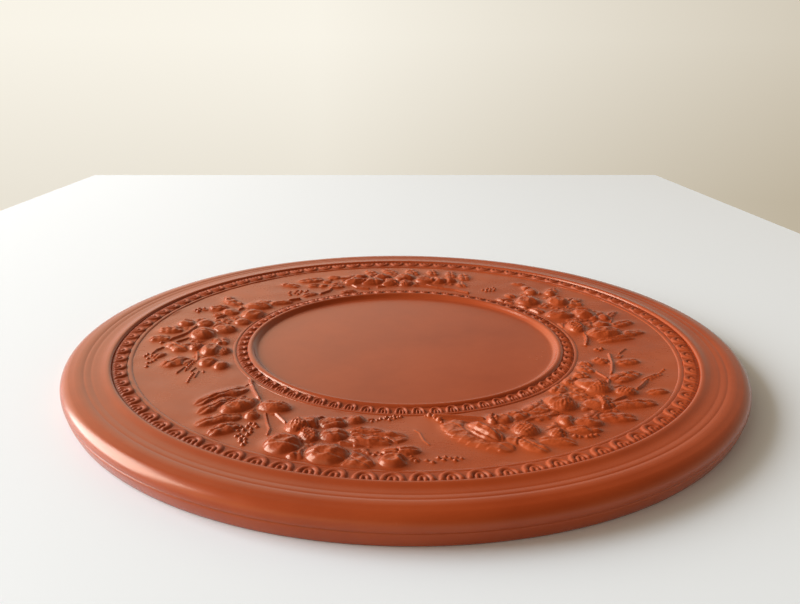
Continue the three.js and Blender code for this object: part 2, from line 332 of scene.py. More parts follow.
# The two egg bands.
# Rows of small egg shapes in the red clay, each a narrow arch over a smaller one, closed inwards.
# They were pressed one after another with a stamp into the soft clay, so each stands a little crooked.
STAMPED_ROUGHNESS = 0.5
ARCH_STRETCH = 1.2
ARCH_SPLAY = 0.3
OUTER_ARCH = {"half": 0.4, "top": 0.13, "thick": 0.125}
INNER_ARCH = {"half": 0.13, "top": 0.5, "thick": 0.09}
INNER_SHARE = 0.9
OPEN_END_FADE = 1.3
EGG_INSET = 0.15
STAMP_LEAN = 0.22
STAMP_SLIP = 0.12
STAMP_LIFT = 0.1
STAMP_SHIFT = 0.1
LEAN_LENGTH = 6.0
OUTER_EGGS = 88
INNER_EGGS = 73

stamped_slip = slip_material("slip_stamped", STAMPED_ROUGHNESS)


def hump(distance, half):
    """A rounded ridge: 1 on the line, 0 from half away."""
    return np.sqrt(np.clip(1 - (distance / half) ** 2, 0, 1))


def arch(across, along, width, length, shape):
    """Height share of an arch; shape has its half width and thickness by width, its top by length."""
    half = width * shape["half"]
    centre = length * shape["top"] + half * ARCH_STRETCH
    splayed = half * (1 + ARCH_SPLAY * np.clip((along - centre) / length, 0, 1))
    round_end = np.hypot(across, (along - centre) / ARCH_STRETCH)
    reach = np.where(along < centre, round_end, np.abs(across))
    return hump(reach - splayed, width * shape["thick"])


def egg_heights(across, along, width, length):
    """Height share of one egg; along runs from the closed end, 0, to the open end, length."""
    outer = arch(across, along, width, length, OUTER_ARCH)
    inner = INNER_SHARE * arch(across, along, width, length, INNER_ARCH)
    return np.maximum(outer, inner) * np.clip((length - along) / OPEN_END_FADE, 0, 1)


def ring_piece(name, top, bottom, material):
    """A closed ring under a grid of points, its rows outwards and its columns round."""
    rows, columns = top.shape[:2]
    under = top[[0, -1]].copy()
    under[:, :, 2] = bottom
    inner_under = rows * columns
    outer_under = inner_under + columns
    last_row = (rows - 1) * columns
    faces = []
    for i in range(columns):
        j = (i + 1) % columns
        for row in range(rows - 1):
            low = row * columns
            faces.append((low + i, low + columns + i, low + columns + j, low + j))
        faces.append((i, j, inner_under + j, inner_under + i))
        faces.append((last_row + j, last_row + i, outer_under + i, outer_under + j))
        faces.append((inner_under + i, inner_under + j, outer_under + j, outer_under + i))
    points = np.concatenate([top.reshape(-1, 3), under.reshape(-1, 3)])
    smooth_piece(name, points, faces, material)


def egg_band(name, start, end, ground, sink, rise, count, first, share_wide, cells, rows, seed):
    """A closed ring with count eggs, one of them at the angle first; ground holds its two heights."""
    draw = np.random.default_rng(seed)
    lean = draw.normal(0, STAMP_LEAN, count)
    slip = draw.normal(0, STAMP_SLIP, count)
    lift = draw.normal(1, STAMP_LIFT, count)
    shift = draw.normal(0, STAMP_SHIFT, count)
    radius = np.linspace(start, end, rows)[:, None]
    share = (np.arange(count * cells) / cells)[None, :]
    which = np.floor(share).astype(int) % count
    pitch = math.tau * radius / count
    width = share_wide * math.tau * (start + end) / 2 / count
    along = radius - start - EGG_INSET + slip[which]
    across = (share - np.floor(share) - 0.5) * pitch + shift[which] + lean[which] * (along / LEAN_LENGTH)
    base = ground[0] + (ground[1] - ground[0]) * (radius - start) / (end - start)
    eggs = egg_heights(across, along, width, end - start - 2 * EGG_INSET)
    height = base + rise * lift[which] * eggs
    angle = np.broadcast_to((share - 0.5) / count * math.tau + math.radians(first), height.shape)
    top = np.stack([radius * np.cos(angle), radius * np.sin(angle), height], 2)
    ring_piece(name, top, min(ground) - sink, stamped_slip)


egg_band(
    "outer_eggs", 128.1, 134.3, (10.55, 10.8),
    sink=0.9, rise=0.72, count=OUTER_EGGS, first=259.6, share_wide=0.86, cells=30, rows=22, seed=3,
)
egg_band(
    "inner_eggs", 75.7, 80.75, (8.35, 8.15),
    sink=0.8, rise=0.8, count=INNER_EGGS, first=268.4, share_wide=0.74, cells=28, rows=18, seed=5,
)


# The frieze of fruit, cones and leaves.
# Red clay, moulded apart and laid on the soft dish, as five sprays that follow each other round.
# Every form is a low relief that runs into the ground, softened by the slip that pooled round it.
# Painted light: the moulded pieces get a lighter, more orange copy of the same slip as their bright tone, so
# the frieze looks more lit than the turned dish. Its patches vary at random, as on the turned slip.
PAINTED_LIT_BRIGHT = (0.38, 0.067, 0.0155, 1.0)
MOULDED_ROUGHNESS = 0.27

# The ground, the grid over it, and how every form is softened.
FRIEZE_INNER = 82.0
FRIEZE_OUTER = 126.2
GROUND_LINE = ((82.4, 8.2), (125.8, 10.0))
GROUND_WAVE = 0.03
GROUND_DIMPLE = 0.006
CELL = 0.3
MIDDLE_RADIUS = 104.0
PAD = 3
TURN_MARGIN = 60
LEAN_MARGIN = 6
CORNER_SOFT = 0.22
MOAT = 1.0
MOAT_WIDTH = 0.6
EDGE_SINK = 0.25
RISE_SHARE = 0.86
FORM_MARGIN = 2.5
FACET = 0.2
FACET_SOFT = 0.015
FACET_WAVES = (0.85, 0.7)
FACET_SHARES = (0.6, 0.4)
LUMP = 0.11
LUMP_WAVES = (2.7, 2.3)
BLUR = 0.15
MELT = 0.62
MELT_CELLS = 11
EDGE_FADE = 0.8
DEEPEST = -0.1
SPRAY_BOTTOM = 6.2

# Fruits, cones, nuts, stems and berries.
FRUIT_SPREAD = 1.08
SMOOTH_DOME = (2.6, 0.55)
SEAM_DEPTH = 0.14
SEAM_WIDTH = 0.09
SEAM_END = 0.3
PIT_PLACE = 0.72
PIT_RIM = {"rise": 0.16, "place": 1.25, "width": 0.45}
PIT_DEPTH = 0.45
PIT_WIDTH = 0.75
ROUGH_DOME = (2.4, 0.5)
KNOB_PITCH = 2.0
KNOB_RISE = 1.1
KNOB_SWAY = 0.13
KNOB_POWER = 0.7
KNOB_SINK = 0.5
NUT_DOME = (2.3, 0.52)
NUT_POWER = 2.2
NUT_WAIST = 0.86
NUT_TAPER = 0.1
NUT_SINK = 0.13
CUP_CURVE = 0.1
SCALE_SINK = 0.2
ROUND_DOME = (2, 0.5)
STEM_SINK = 0.12
BERRY_SIZES = (0.85, 1.15)
BERRY_RISES = (0.8, 1.15)
BERRY_SINK = 0.1

# Leaves.
LEAF_SPREAD = 1.26
LEAF_SKEW = 0.85
LEAF_OUTLINE = 0.56
LEAF_TOP = 0.7
LEAF_TIP = 0.02
TOOTH = 0.14
LOBE = 0.3
CREASE = 0.26
CREASE_WIDTH = 0.35
RIB = 0.085
RIB_SLANT = 0.4
CRUMPLE = 0.5
CRUMPLE_PITCH = 8.5
CRUMPLE_TURN = 1.1
CRUMPLE_SHARES = (0.6, 0.45, 0.2)
UNDERLEAF_LENGTH = 12.0
UNDERLEAF_LENGTHS = (0.8, 1.2)
UNDERLEAF_WIDTH = UNDERLEAF_LENGTH * 0.55
UNDERLEAF_RISE = 1.5
UNDERLEAF_BOW = 1.5

# The moulded slip takes the painted lighter tone as the bright end of its patches.
moulded_slip = slip_material("slip_moulded", MOULDED_ROUGHNESS, PAINTED_LIT_BRIGHT)


def ground_height(radius):
    (inner, low), (outer, high) = GROUND_LINE
    return low + (high - low) * (radius - inner) / (outer - inner)


def spot(place):
    """A place of the frieze, in degrees and millimetres from the middle, as x and y."""
    angle = math.radians(place[0])
    return np.array([place[1] * math.cos(angle), place[1] * math.sin(angle)])


def unevenness(x, y):
    """The slight waves of the smoothed surface, the same on both sides of a joint."""
    waves = np.sin(x * 0.31 + 1.3 * np.sin(y * 0.17)) + np.sin(y * 0.37 + 1.7 * np.sin(x * 0.13))
    dimples = GROUND_DIMPLE * np.sin(x * 0.93 + y * 0.71) * np.sin(y * 1.07 - x * 0.41)
    return GROUND_WAVE * waves + dimples


def dome_over(reach, rise, power, fullness):
    """A dome of that rise, down to 0 at its outline, where reach is 1."""
    return rise * np.clip(1 - reach**power, 0, 1) ** fullness


def inside(reach, steepness):
    """1 well inside a form, and down to 0 at its outline."""
    return np.clip(steepness * (1 - reach), 0, 1)


def bell(distance, width):
    """A soft line or dot: 1 in its middle, and next to nothing from twice the width."""
    return np.exp(-((distance / width) ** 2))


def merged(first, second):
    """The higher of two heights, with the corner between them rounded."""
    gap = np.clip(CORNER_SOFT - np.abs(first - second), 0, None) / CORNER_SOFT
    return np.maximum(first, second) + gap**2 * CORNER_SOFT / 4


class Relief:
    """Heights over the ground on a grid of rows (radius) and columns (angle) of one spray."""

    def __init__(self, start, end, lean_start=0.0, lean_end=0.0, seed=1, spread=1.0):
        """From start to end in degrees; an end leans by so many degrees a millimetre outwards."""
        self.rows = int(round((FRIEZE_OUTER - FRIEZE_INNER) / CELL)) + 1
        self.columns = int(round(math.radians(end - start) * MIDDLE_RADIUS / CELL)) + 1
        share = np.arange(-PAD, self.columns + PAD) / (self.columns - 1)
        self.radius = np.linspace(FRIEZE_INNER, FRIEZE_OUTER, self.rows)[:, None]
        first = start + lean_start * (self.radius - MIDDLE_RADIUS)
        last = end + lean_end * (self.radius - MIDDLE_RADIUS)
        angle = first + (last - first) * share[None, :]
        self.x = self.radius * np.cos(np.radians(angle))
        self.y = self.radius * np.sin(np.radians(angle))
        self.height = np.zeros_like(self.x)
        self.start = start
        self.end = end
        self.spread = spread
        self.draw = np.random.default_rng(seed)

    def patch(self, centre, reach):
        """The rows and columns that a form of that reach can touch."""
        radius = math.hypot(*centre)
        angle = math.degrees(math.atan2(centre[1], centre[0]))
        while angle < self.start - TURN_MARGIN:
            angle += 360
        spread = math.degrees(reach / radius) + LEAN_MARGIN
        share = (np.array([angle - spread, angle + spread]) - self.start) / (self.end - self.start)
        low, high = (share * (self.columns - 1)).astype(int) + PAD
        first = int((radius - reach - FRIEZE_INNER) / CELL)
        last = int((radius + reach - FRIEZE_INNER) / CELL) + 2
        columns = slice(max(low, 0), max(min(high, self.x.shape[1]), 0))
        return slice(max(first, 0), max(min(last, self.rows), 0)), columns

    def lay(self, part, form, outside):
        """Adds a form; outside is the distance past its outline, where a thin moat is pressed."""
        old = self.height[part]
        pressed = old - MOAT * bell(outside, MOAT_WIDTH) * np.clip(old, 0, 1)
        self.height[part] = merged(pressed, form)

    def frame_of(self, head, tail, width, margin=FORM_MARGIN):
        """The patch, and its coordinates along and across a form from head to tail."""
        a, b = spot(head), spot(tail)
        centre = (a + b) / 2
        half = max(np.hypot(*(b - a)) / 2, 0.1)
        along = (b - a) / (2 * half)
        part = self.patch(centre, max(half, width / 2) + margin)
        dx, dy = self.x[part] - centre[0], self.y[part] - centre[1]
        u = (dx * along[0] + dy * along[1]) / half
        v = (dx * -along[1] + dy * along[0]) / (width / 2)
        return part, u, v, half

    def finish_form(self, part, dome, reach, size):
        """Gives a form its soft facets and small lumps, sinks its outline and lays it down."""
        x, y = self.x[part], self.y[part]
        turn, shift = self.draw.uniform(0, math.tau, 2)
        one = np.sin((x * math.cos(turn) + y * math.sin(turn)) * FACET_WAVES[0] + shift)
        two = np.sin((y * math.cos(turn) - x * math.sin(turn)) * FACET_WAVES[1] + 2.1 * shift)
        facets = np.sqrt((FACET_SHARES[0] * one + FACET_SHARES[1] * two) ** 2 + FACET_SOFT)
        dome = RISE_SHARE * dome * (1 - FACET * facets)
        lumps = np.sin(x * LUMP_WAVES[0] + 1.5 * np.sin(y * 1.3 + shift))
        lumps = lumps * np.sin(y * LUMP_WAVES[1] + 1.5 * np.sin(x * 1.7 + turn))
        dome += LUMP * lumps * inside(reach, 2)
        outside = (reach - 1) * size
        form = np.where(reach < 1, dome - EDGE_SINK, -EDGE_SINK - np.clip(outside, 0, None) * 2)
        self.lay(part, form, outside)

    def fruit(self, head, tail, width, rise, taper=0.0, seam=None, pit=0.0):
        """A rounded fruit; taper narrows the tail, seam is a groove along it, pit a hole at the tail."""
        width = width * FRUIT_SPREAD * self.spread
        part, u, v, half = self.frame_of(head, tail, width)
        reach = np.sqrt(u**2 + (v / (1 - taper * u)) ** 2)
        dome = dome_over(reach, rise, *SMOOTH_DOME)
        if seam is not None:
            dome -= SEAM_DEPTH * rise * bell(v - seam, SEAM_WIDTH) * inside(reach, 1) ** SEAM_END
        if pit:
            hole = np.hypot((u - PIT_PLACE) * half, v * width / 2)
            rim = bell(hole - pit * PIT_RIM["place"], pit * PIT_RIM["width"])
            dome += PIT_RIM["rise"] * rise * rim
            dome -= PIT_DEPTH * rise * bell(hole, pit * PIT_WIDTH)
        self.finish_form(part, dome, reach, min(half, width / 2))

    def lattice(self, u, v, half, width):
        """Small knobs in crooked crossed rows, from 0 between them to 1 on their tops."""
        along, across = u * half / KNOB_PITCH, v * width / 2 / KNOB_PITCH
        shift = self.draw.uniform(0, math.tau, 4)
        sway = KNOB_SWAY * np.sin(along * 2.3 + shift[0]) + KNOB_SWAY * np.sin(across * 3.1 + shift[1])
        swing = KNOB_SWAY * np.sin(across * 2.1 + shift[2]) + KNOB_SWAY * np.sin(along * 3.7 + shift[3])
        first = along + across + sway
        second = along - across + swing
        height = 0.75 + 0.25 * np.sin(first * 1.7 + shift[1]) * np.sin(second * 1.3 + shift[0])
        return height * (np.abs(np.sin(np.pi * first)) * np.abs(np.sin(np.pi * second))) ** KNOB_POWER

    def rough_fruit(self, head, tail, width, rise):
        """A berry or small cone with rows of knobs all over."""
        width = width * FRUIT_SPREAD * self.spread
        part, u, v, half = self.frame_of(head, tail, width)
        reach = np.sqrt(u**2 + v**2)
        dome = dome_over(reach, rise, *ROUGH_DOME)
        dome += KNOB_RISE * (self.lattice(u, v, half, width) - KNOB_SINK) * inside(reach, 2.5)
        self.finish_form(part, dome, reach, min(half, width / 2))

    def acorn(self, head, tail, width, rise, cup):
        """A nut in a scaly cup; cup is the share of the length that the cup takes, at the head."""
        width = width * FRUIT_SPREAD * self.spread
        part, u, v, half = self.frame_of(head, tail, width)
        edge = -1 + 2 * cup
        in_cup = u < edge + CUP_CURVE * v**2
        waist = np.where(in_cup, 1.0, NUT_WAIST - NUT_TAPER * (u - edge))
        reach = np.sqrt(np.abs(u) ** NUT_POWER + np.abs(v / waist) ** 2)
        dome = dome_over(reach, rise, *NUT_DOME)
        scales = KNOB_RISE * (self.lattice(u, v, half, width) - SCALE_SINK)
        dome += np.where(in_cup, scales, -NUT_SINK * rise) * inside(reach, 3)
        self.finish_form(part, dome, reach, min(half, width / 2))

    def leaf(
        self, head, tail, width, rise,
        bow=0.0, teeth=0, lobes=0, ribs=0, ridge=0.0, flat=2.4, folds=False,
    ):
        """A leaf from its stalk to its tip, creased down its middle or with a ridge there.

        bow bends its middle sideways, in millimetres. teeth, lobes and ribs are counted along it.
        The higher flat is, the more level is its top.
        """
        width = width * LEAF_SPREAD * self.spread
        part, u, v, half = self.frame_of(head, tail, width, FORM_MARGIN + abs(bow))
        v = v - bow / (width / 2) * (1 - u**2)
        run = np.clip((u + 1) / 2, 0, 1)
        outline = np.sin(np.pi * run**LEAF_SKEW) ** LEAF_OUTLINE
        if teeth:
            outline = outline * (1 - TOOTH * np.mod(run * teeth, 1.0))
        if lobes:
            outline = outline * (1 - LOBE * np.cos(np.pi * run * lobes) ** 2)
        reach = np.maximum(np.abs(v) / np.maximum(outline, LEAF_TIP), np.abs(u))
        side = np.clip(reach, 0, 1)
        dome = dome_over(side, rise, flat, LEAF_TOP)
        middle = bell(v * width / 2, CREASE_WIDTH) * inside(side, 2.5)
        dome += (ridge or -CREASE * rise) * middle
        if ribs:
            wave = np.sin(math.tau * (run * ribs - RIB_SLANT * np.abs(v)))
            dome += RIB * rise * wave * inside(side, 2)
        if folds:
            dome += self.crumple(part) * inside(side, 2)
        self.finish_form(part, dome, reach, width / 2)

    def crumple(self, part):
        """Crossing folds of a crinkled leaf, sharp above and round below."""
        x, y = self.x[part], self.y[part]
        turn, shift = self.draw.uniform(0, math.tau, 2)
        total = np.zeros_like(x)
        for k, share in enumerate(CRUMPLE_SHARES):
            heading = turn + CRUMPLE_TURN * k
            bent = 0.6 * np.sin((y * math.cos(heading) - x * math.sin(heading)) / CRUMPLE_PITCH * 2 + shift)
            phase = (x * math.cos(heading) + y * math.sin(heading)) * (1 + 0.5 * k) / CRUMPLE_PITCH * math.pi
            total += share * (1 - 2 * np.abs(np.sin(phase + shift * (k + 1) + bent)))
        return CRUMPLE * total

    def underlay(self, places):
        """Low lobed leaves that lie under the fruits and show between them."""
        for angle, radius in places:
            turn = self.draw.uniform(0, math.tau)
            reach = UNDERLEAF_LENGTH * self.draw.uniform(*UNDERLEAF_LENGTHS) / 2
            swing = math.degrees(reach * math.cos(turn) / radius)
            shift = reach * math.sin(turn)
            ends = (angle - swing, radius - shift), (angle + swing, radius + shift)
            bow = self.draw.uniform(-UNDERLEAF_BOW, UNDERLEAF_BOW)
            self.leaf(*ends, UNDERLEAF_WIDTH, UNDERLEAF_RISE, bow=bow, lobes=3, ribs=3)

    def stem(self, places, width, rise):
        """A round stem through places."""
        points = [spot(p) for p in places]
        for a, b in zip(points, points[1:]):
            length = np.hypot(*(b - a))
            part = self.patch((a + b) / 2, length / 2 + width + 2)
            dx, dy = self.x[part] - a[0], self.y[part] - a[1]
            step = (b - a) / length
            run = np.clip(dx * step[0] + dy * step[1], 0, length)
            away = np.hypot(dx - run * step[0], dy - run * step[1]) / (width / 2)
            dome = dome_over(away, rise, *ROUND_DOME)
            form = np.where(away < 1, dome - STEM_SINK, -STEM_SINK - (away - 1) * width)
            self.height[part] = merged(self.height[part], form)

    def grains(self, places, width, rise):
        """Small round berries, each pressed a little deeper or less deep than the next."""
        for place in places:
            size = width * self.draw.uniform(*BERRY_SIZES)
            centre = spot(place)
            part = self.patch(centre, size)
            away = np.hypot(self.x[part] - centre[0], self.y[part] - centre[1]) / (size / 2)
            dome = dome_over(away, rise * self.draw.uniform(*BERRY_RISES), *ROUND_DOME)
            outside = (away - 1) * size
            self.lay(part, np.where(away < 1, dome - BERRY_SINK, -BERRY_SINK - outside), outside)

    def spread_out(self, field):
        """The heights smeared over a few millimetres: the clay that lies between close forms."""
        steps = np.arange(-MELT_CELLS, MELT_CELLS + 1)
        weights = np.exp(-2.0 * (steps / MELT_CELLS) ** 2)
        for axis in (0, 1):
            rolled = [weight * np.roll(field, step, axis) for step, weight in zip(steps, weights)]
            field = np.sum(rolled, axis=0) / np.sum(weights)
        return field

    def softened(self):
        """The heights with their sharpest edges rounded, as under slip, and cropped to the spray."""
        field = self.height
        for axis in (0, 1):
            before = np.roll(field, 1, axis)
            after = np.roll(field, -1, axis)
            if axis == 0:
                before[0], after[-1] = field[0], field[-1]
            field = field * (1 - 2 * BLUR) + (before + after) * BLUR
        field = np.maximum(field, MELT * self.spread_out(np.clip(field, 0, None)))
        edge = np.clip((self.radius - FRIEZE_INNER) / EDGE_FADE, 0, 1)
        edge = edge * np.clip((FRIEZE_OUTER - self.radius) / EDGE_FADE, 0, 1)
        field = np.maximum(field, DEEPEST) * edge + unevenness(self.x, self.y)
        return field[:, PAD:-PAD]

    def build(self, name):
        """The spray as a closed mesh: the relief above, walls down into the dish, and a plain bottom."""
        rows, columns = self.rows, self.columns
        x, y = self.x[:, PAD:-PAD], self.y[:, PAD:-PAD]
        top = np.stack([x, y, ground_height(self.radius) + self.softened()], 2).reshape(-1, 3)
        index = np.arange(rows * columns).reshape(rows, columns)
        rim = np.concatenate([index[0], index[1:, -1], index[-1, -2::-1], index[-2:0:-1, 0]])
        under = top[rim]
        under[:, 2] = SPRAY_BOTTOM
        below = len(top) + np.arange(len(rim))
        quads = [
            np.stack([index[:-1, :-1], index[1:, :-1], index[1:, 1:], index[:-1, 1:]], 2).reshape(-1, 4),
            np.stack([rim, np.roll(rim, -1), np.roll(below, -1), below], 1),
        ]
        faces = np.concatenate(quads).tolist()
        faces.append(below.tolist())
        points = np.concatenate([top, under])
        sharp = np.zeros(len(points), bool)
        sharp[rim] = True
        sharp[below] = True
        smooth_piece(name, points, faces, moulded_slip, sharp)


# The spray at the front left.
# A forked stem comes from the inner bead, and carries big smooth fruits, an acorn and crinkled leaves.
# It is the same red clay, moulded apart, laid on the dish and fired with it.
front_left = Relief(213.5, 276.4, 0.0, 0.22, seed=11)
front_left.underlay(
    [(226, 98), (232, 100), (233, 93), (238, 93), (247, 98), (247, 103), (248, 113), (252, 112), (256, 111)]
    + [(253, 96), (257, 90), (257, 116), (250, 104), (262, 116)]
)
front_left.stem([(217, 82.6), (219.5, 84.5), (225, 88), (229.3, 91), (233, 94.5), (235.8, 98)], 1.8, 1.5)
front_left.stem([(219, 84.5), (221, 90), (223.5, 97)], 0.9, 0.8)
front_left.stem([(235.6, 97), (237.5, 100.5), (240.4, 105.5), (242.3, 108.8), (243.2, 112.5)], 1.1, 0.9)
front_left.stem([(236, 95), (238.4, 96.7), (244.4, 102.6), (247.4, 105.2)], 1.3, 1.2)
front_left.stem([(259, 88), (261.5, 87)], 1.0, 0.9)
front_left.stem([(271.6, 95), (272.6, 97.5), (272.9, 101), (273.2, 104), (274, 107)], 0.7, 0.5)
front_left.leaf((254, 107.5), (270.4, 101.5), 13, 2.5, teeth=6, flat=3, folds=True)
front_left.leaf((256.5, 103), (267.5, 107), 6.5, 3.0, bow=-0.8, flat=2, folds=True)
front_left.leaf((256.5, 100.4), (265.5, 98.2), 5.5, 2.6, bow=1.0, flat=2, folds=True)
front_left.leaf((221.2, 87), (222.8, 113.5), 8.6, 2.5, ribs=4)
front_left.leaf((225.3, 96), (226.8, 117), 7.4, 2.5, ribs=3)
front_left.leaf((233.6, 105), (230.2, 123.4), 8, 2.7, ribs=3)
front_left.leaf((236.2, 111.5), (234.8, 125.3), 7.4, 2.6, ribs=3)
front_left.leaf((250.4, 116), (252.6, 126), 8, 2.5, ribs=3, folds=True)
front_left.leaf((258.6, 116.5), (264.6, 125.6), 9.5, 2.6, bow=-0.8, ribs=4)
front_left.leaf((266, 115), (272.4, 111.2), 7, 2.6)
front_left.leaf((265, 113), (268.4, 113.6), 5.5, 2.1)
front_left.fruit((229.5, 110), (229.8, 92), 9.6, 3.9, taper=0.1, seam=0.3)
front_left.fruit((232.3, 95.8), (240, 90), 9.6, 3.6, taper=0.1, seam=0.25)
front_left.fruit((234.3, 106.4), (236.6, 101.8), 6, 3.0)
front_left.acorn((245.4, 107.2), (251, 91.6), 11.6, 4.3, cup=0.42)
front_left.rough_fruit((248.6, 109.6), (252.8, 105.4), 10, 3.5)
front_left.fruit((250.4, 98.8), (256, 91.4), 8.8, 3.4, seam=-0.3)
front_left.fruit((255.6, 93), (259.3, 86.6), 6.2, 2.9)
front_left.fruit((252.4, 106.8), (258.2, 102.6), 10, 3.6, seam=-0.2)
front_left.fruit((244.9, 120.2), (251.2, 114.6), 14.4, 4.5, taper=-0.05, seam=-0.3)
front_left.fruit((252.6, 119.4), (260.3, 119.4), 13.2, 4.6, taper=-0.08, seam=-0.35)
front_left.fruit((265, 120.4), (269.9, 120.2), 9, 3.6, pit=1.7)
front_left.fruit((270, 118.8), (272, 118.6), 2.8, 1.6)
front_left.grains(
    [(237.5, 109), (238.5, 108.5), (239.5, 109.5), (238, 111.5), (239.2, 112), (237.2, 113)]
    + [(238.5, 114.5), (237.8, 116), (239, 118), (240, 118.5), (239, 119.5), (240.3, 120.5)]
    + [(241, 119.5), (240.8, 121.8), (241.8, 121.5), (242, 123.5), (240, 114), (240.2, 116.2)],
    1.8,
    1.2,
)
front_left.grains(
    [(261.3, 88.7), (262.5, 87.3), (263.2, 86), (264.3, 85.5), (264.6, 84.3), (265.5, 86.3)]
    + [(265.8, 84), (266.7, 84.8), (266.5, 83.3), (267.6, 83.8), (268.3, 83.2)],
    1.5,
    1.1,
)
front_left.grains(
    [(264.5, 114), (265.3, 115.5), (264.2, 116), (271.2, 119.5), (270.5, 116.5), (273, 119), (273.9, 120.5)],
    1.8,
    1.0,
)
front_left.grains(
    [(275, 117.5), (275.8, 119), (276.2, 117), (277, 118), (277.6, 119.8), (278, 117.6), (278.8, 118.6)],
    1.5,
    1.1,
)
front_left.build("spray_front_left")


# The spray at the front right.
# A long stem runs from the inner bead past a broad toothed leaf and a pear to three acorns.
# It is the same red clay, moulded apart, laid on the dish and fired with it.
front_right = Relief(276.4, 355.0, 0.22, 0.0, seed=12)
front_right.underlay(
    [(291, 97), (296, 100), (302, 98), (305, 96), (309, 94), (314, 92), (318, 96), (322, 92), (327, 96)]
    + [(313, 104), (319, 104), (310, 110), (306, 112), (300, 108), (302, 112), (316, 110), (326, 104)]
)
front_right.stem([(275.2, 82.6), (277.5, 84), (283, 86.2), (288, 90), (293, 97)], 1.9, 1.5)
front_right.stem([(277, 85.5), (278.6, 90), (279.5, 96)], 1.4, 1.1)
front_right.stem([(293, 97), (297, 98), (301, 99), (306, 101.5)], 1.3, 1.2)
front_right.stem([(316, 109), (319, 109), (323, 110.5), (327, 112), (330, 113), (334, 114)], 1.6, 1.3)
front_right.stem([(326, 101), (330.6, 99.3), (334.8, 99), (341.6, 97.8), (348.8, 96.3)], 1.4, 1.2)
front_right.stem([(331.5, 98), (334, 93), (336, 91)], 1.2, 1.1)
front_right.stem([(340, 98), (343.5, 94.5)], 1.0, 0.9)
front_right.stem([(349.5, 101), (353, 104.5)], 0.9, 0.8)
front_right.leaf((279, 89), (288, 118.5), 14, 2.0, teeth=9, flat=8)
front_right.fruit((287.8, 110.5), (283.9, 92.5), 9, 4.0, taper=0.1)
front_right.leaf((284, 93), (287.6, 110), 4.5, 4.4, ridge=0.5)
front_right.leaf((294.2, 93), (300.4, 93), 7.5, 2.3, ribs=3)
front_right.leaf((299.5, 93), (310, 88.5), 9, 1.9, bow=-1.0, ribs=4)
front_right.leaf((290, 106.5), (291.8, 118.5), 8.5, 2.4, bow=1.0, ribs=3)
front_right.leaf((291.2, 111), (293.4, 123.5), 6.5, 2.2, bow=-0.8)
front_right.leaf((294, 113.5), (299.4, 123), 6.5, 2.2, bow=0.6)
front_right.leaf((301.2, 112), (307, 120), 7, 2.3, ribs=3)
front_right.leaf((310.4, 112), (315.3, 123.5), 7.5, 2.2, ribs=4)
front_right.leaf((316.3, 110), (323.8, 124), 7.5, 2.3, bow=0.6, ribs=4)
front_right.leaf((327, 117), (330.3, 124.4), 5, 1.9)
front_right.leaf((333.2, 112), (339, 119.5), 3.4, 1.4)
front_right.leaf((329.6, 101.5), (338.2, 110), 8.5, 2.1, bow=0.6, ribs=4)
front_right.leaf((341.8, 99.6), (345.2, 110), 6.2, 2.0, ribs=3)
front_right.leaf((342, 96.2), (344, 88.8), 6, 2.1, ribs=3)
front_right.leaf((337.6, 88.4), (341.4, 84.4), 5.2, 1.9)
front_right.leaf((332.6, 90.6), (338.4, 83.8), 6, 2.0, ribs=3)
front_right.leaf((328.5, 90.5), (332.5, 84.5), 6.4, 2.1, ribs=3)
front_right.leaf((322, 87.5), (328, 84.5), 6.4, 2.1, ribs=3)
front_right.leaf((314.5, 87), (321, 84.5), 6.4, 2.0, ribs=3)
front_right.leaf((346, 99.8), (349.2, 102.2), 2.4, 1.1)
front_right.rough_fruit((289.2, 91), (292.2, 93.4), 8.8, 3.5)
front_right.fruit((290.8, 92), (295, 95.4), 7.6, 3.0)
front_right.rough_fruit((291.6, 103.6), (296.8, 107.6), 10.4, 3.9)
front_right.rough_fruit((297, 111.4), (300.4, 114.8), 7.4, 3.1)
front_right.fruit((302.4, 104.8), (305.8, 108.6), 9.4, 3.3)
front_right.fruit((304.8, 109), (308.9, 117.2), 7.4, 3.0, seam=0.25)
front_right.acorn((317.9, 110), (313.2, 101), 10.4, 3.9, cup=0.4)
front_right.acorn((309.3, 102.2), (310.5, 87), 12, 4.4, cup=0.42)
front_right.acorn((323.6, 104.4), (325.4, 87.4), 12, 4.4, cup=0.42)
front_right.rough_fruit((324, 105.4), (326.9, 113.4), 7.4, 3.2)
front_right.grains([(301.4, 119), (300.8, 117.8), (302.5, 120.5), (303.2, 121), (304.3, 121.3)], 2.0, 1.3)
front_right.grains([(299, 117), (299.5, 115.5), (300, 114)], 2.0, 1.2)
front_right.grains([(351.5, 92), (352.5, 93.5), (352, 91)], 2.0, 1.3)
front_right.grains([(334.5 + 1.1 * k, 115.5 + 0.7 * k) for k in range(7)], 1.1, 0.8)
front_right.grains([(316.8, 110.5), (278, 87.2), (275.9, 82.9)], 2.6, 1.7)
front_right.build("spray_front_right")


# The spray at the right and back.
# Oval fruits in pairs along a stem that climbs from the inner bead to the outer one.
# It is the same red clay, moulded apart, laid on the dish and fired with it.
back_right = Relief(355.0, 423.5, seed=13, spread=1.07)
back_right.underlay(
    [(368, 94), (374, 98), (378, 95), (384, 104), (386, 98), (391, 98), (394, 96), (397, 104), (401, 96)]
    + [(404, 98), (380, 110), (375, 105), (372, 98), (389, 106)]
)
back_right.stem([(356, 87), (360, 88.6), (365, 90), (369.2, 91.6), (372, 94)], 1.8, 1.4)
back_right.stem([(371, 108), (375, 112), (377, 116)], 1.2, 1.1)
back_right.stem([(376, 96), (381, 97), (386, 101)], 1.3, 1.1)
back_right.stem([(388.5, 101), (391, 106), (394.5, 113.5)], 1.3, 1.1)
back_right.leaf((358.4, 93), (360.7, 113), 6.5, 2.0, bow=1.0)
back_right.leaf((361, 96), (364.6, 120.5), 7.5, 2.3, ribs=4)
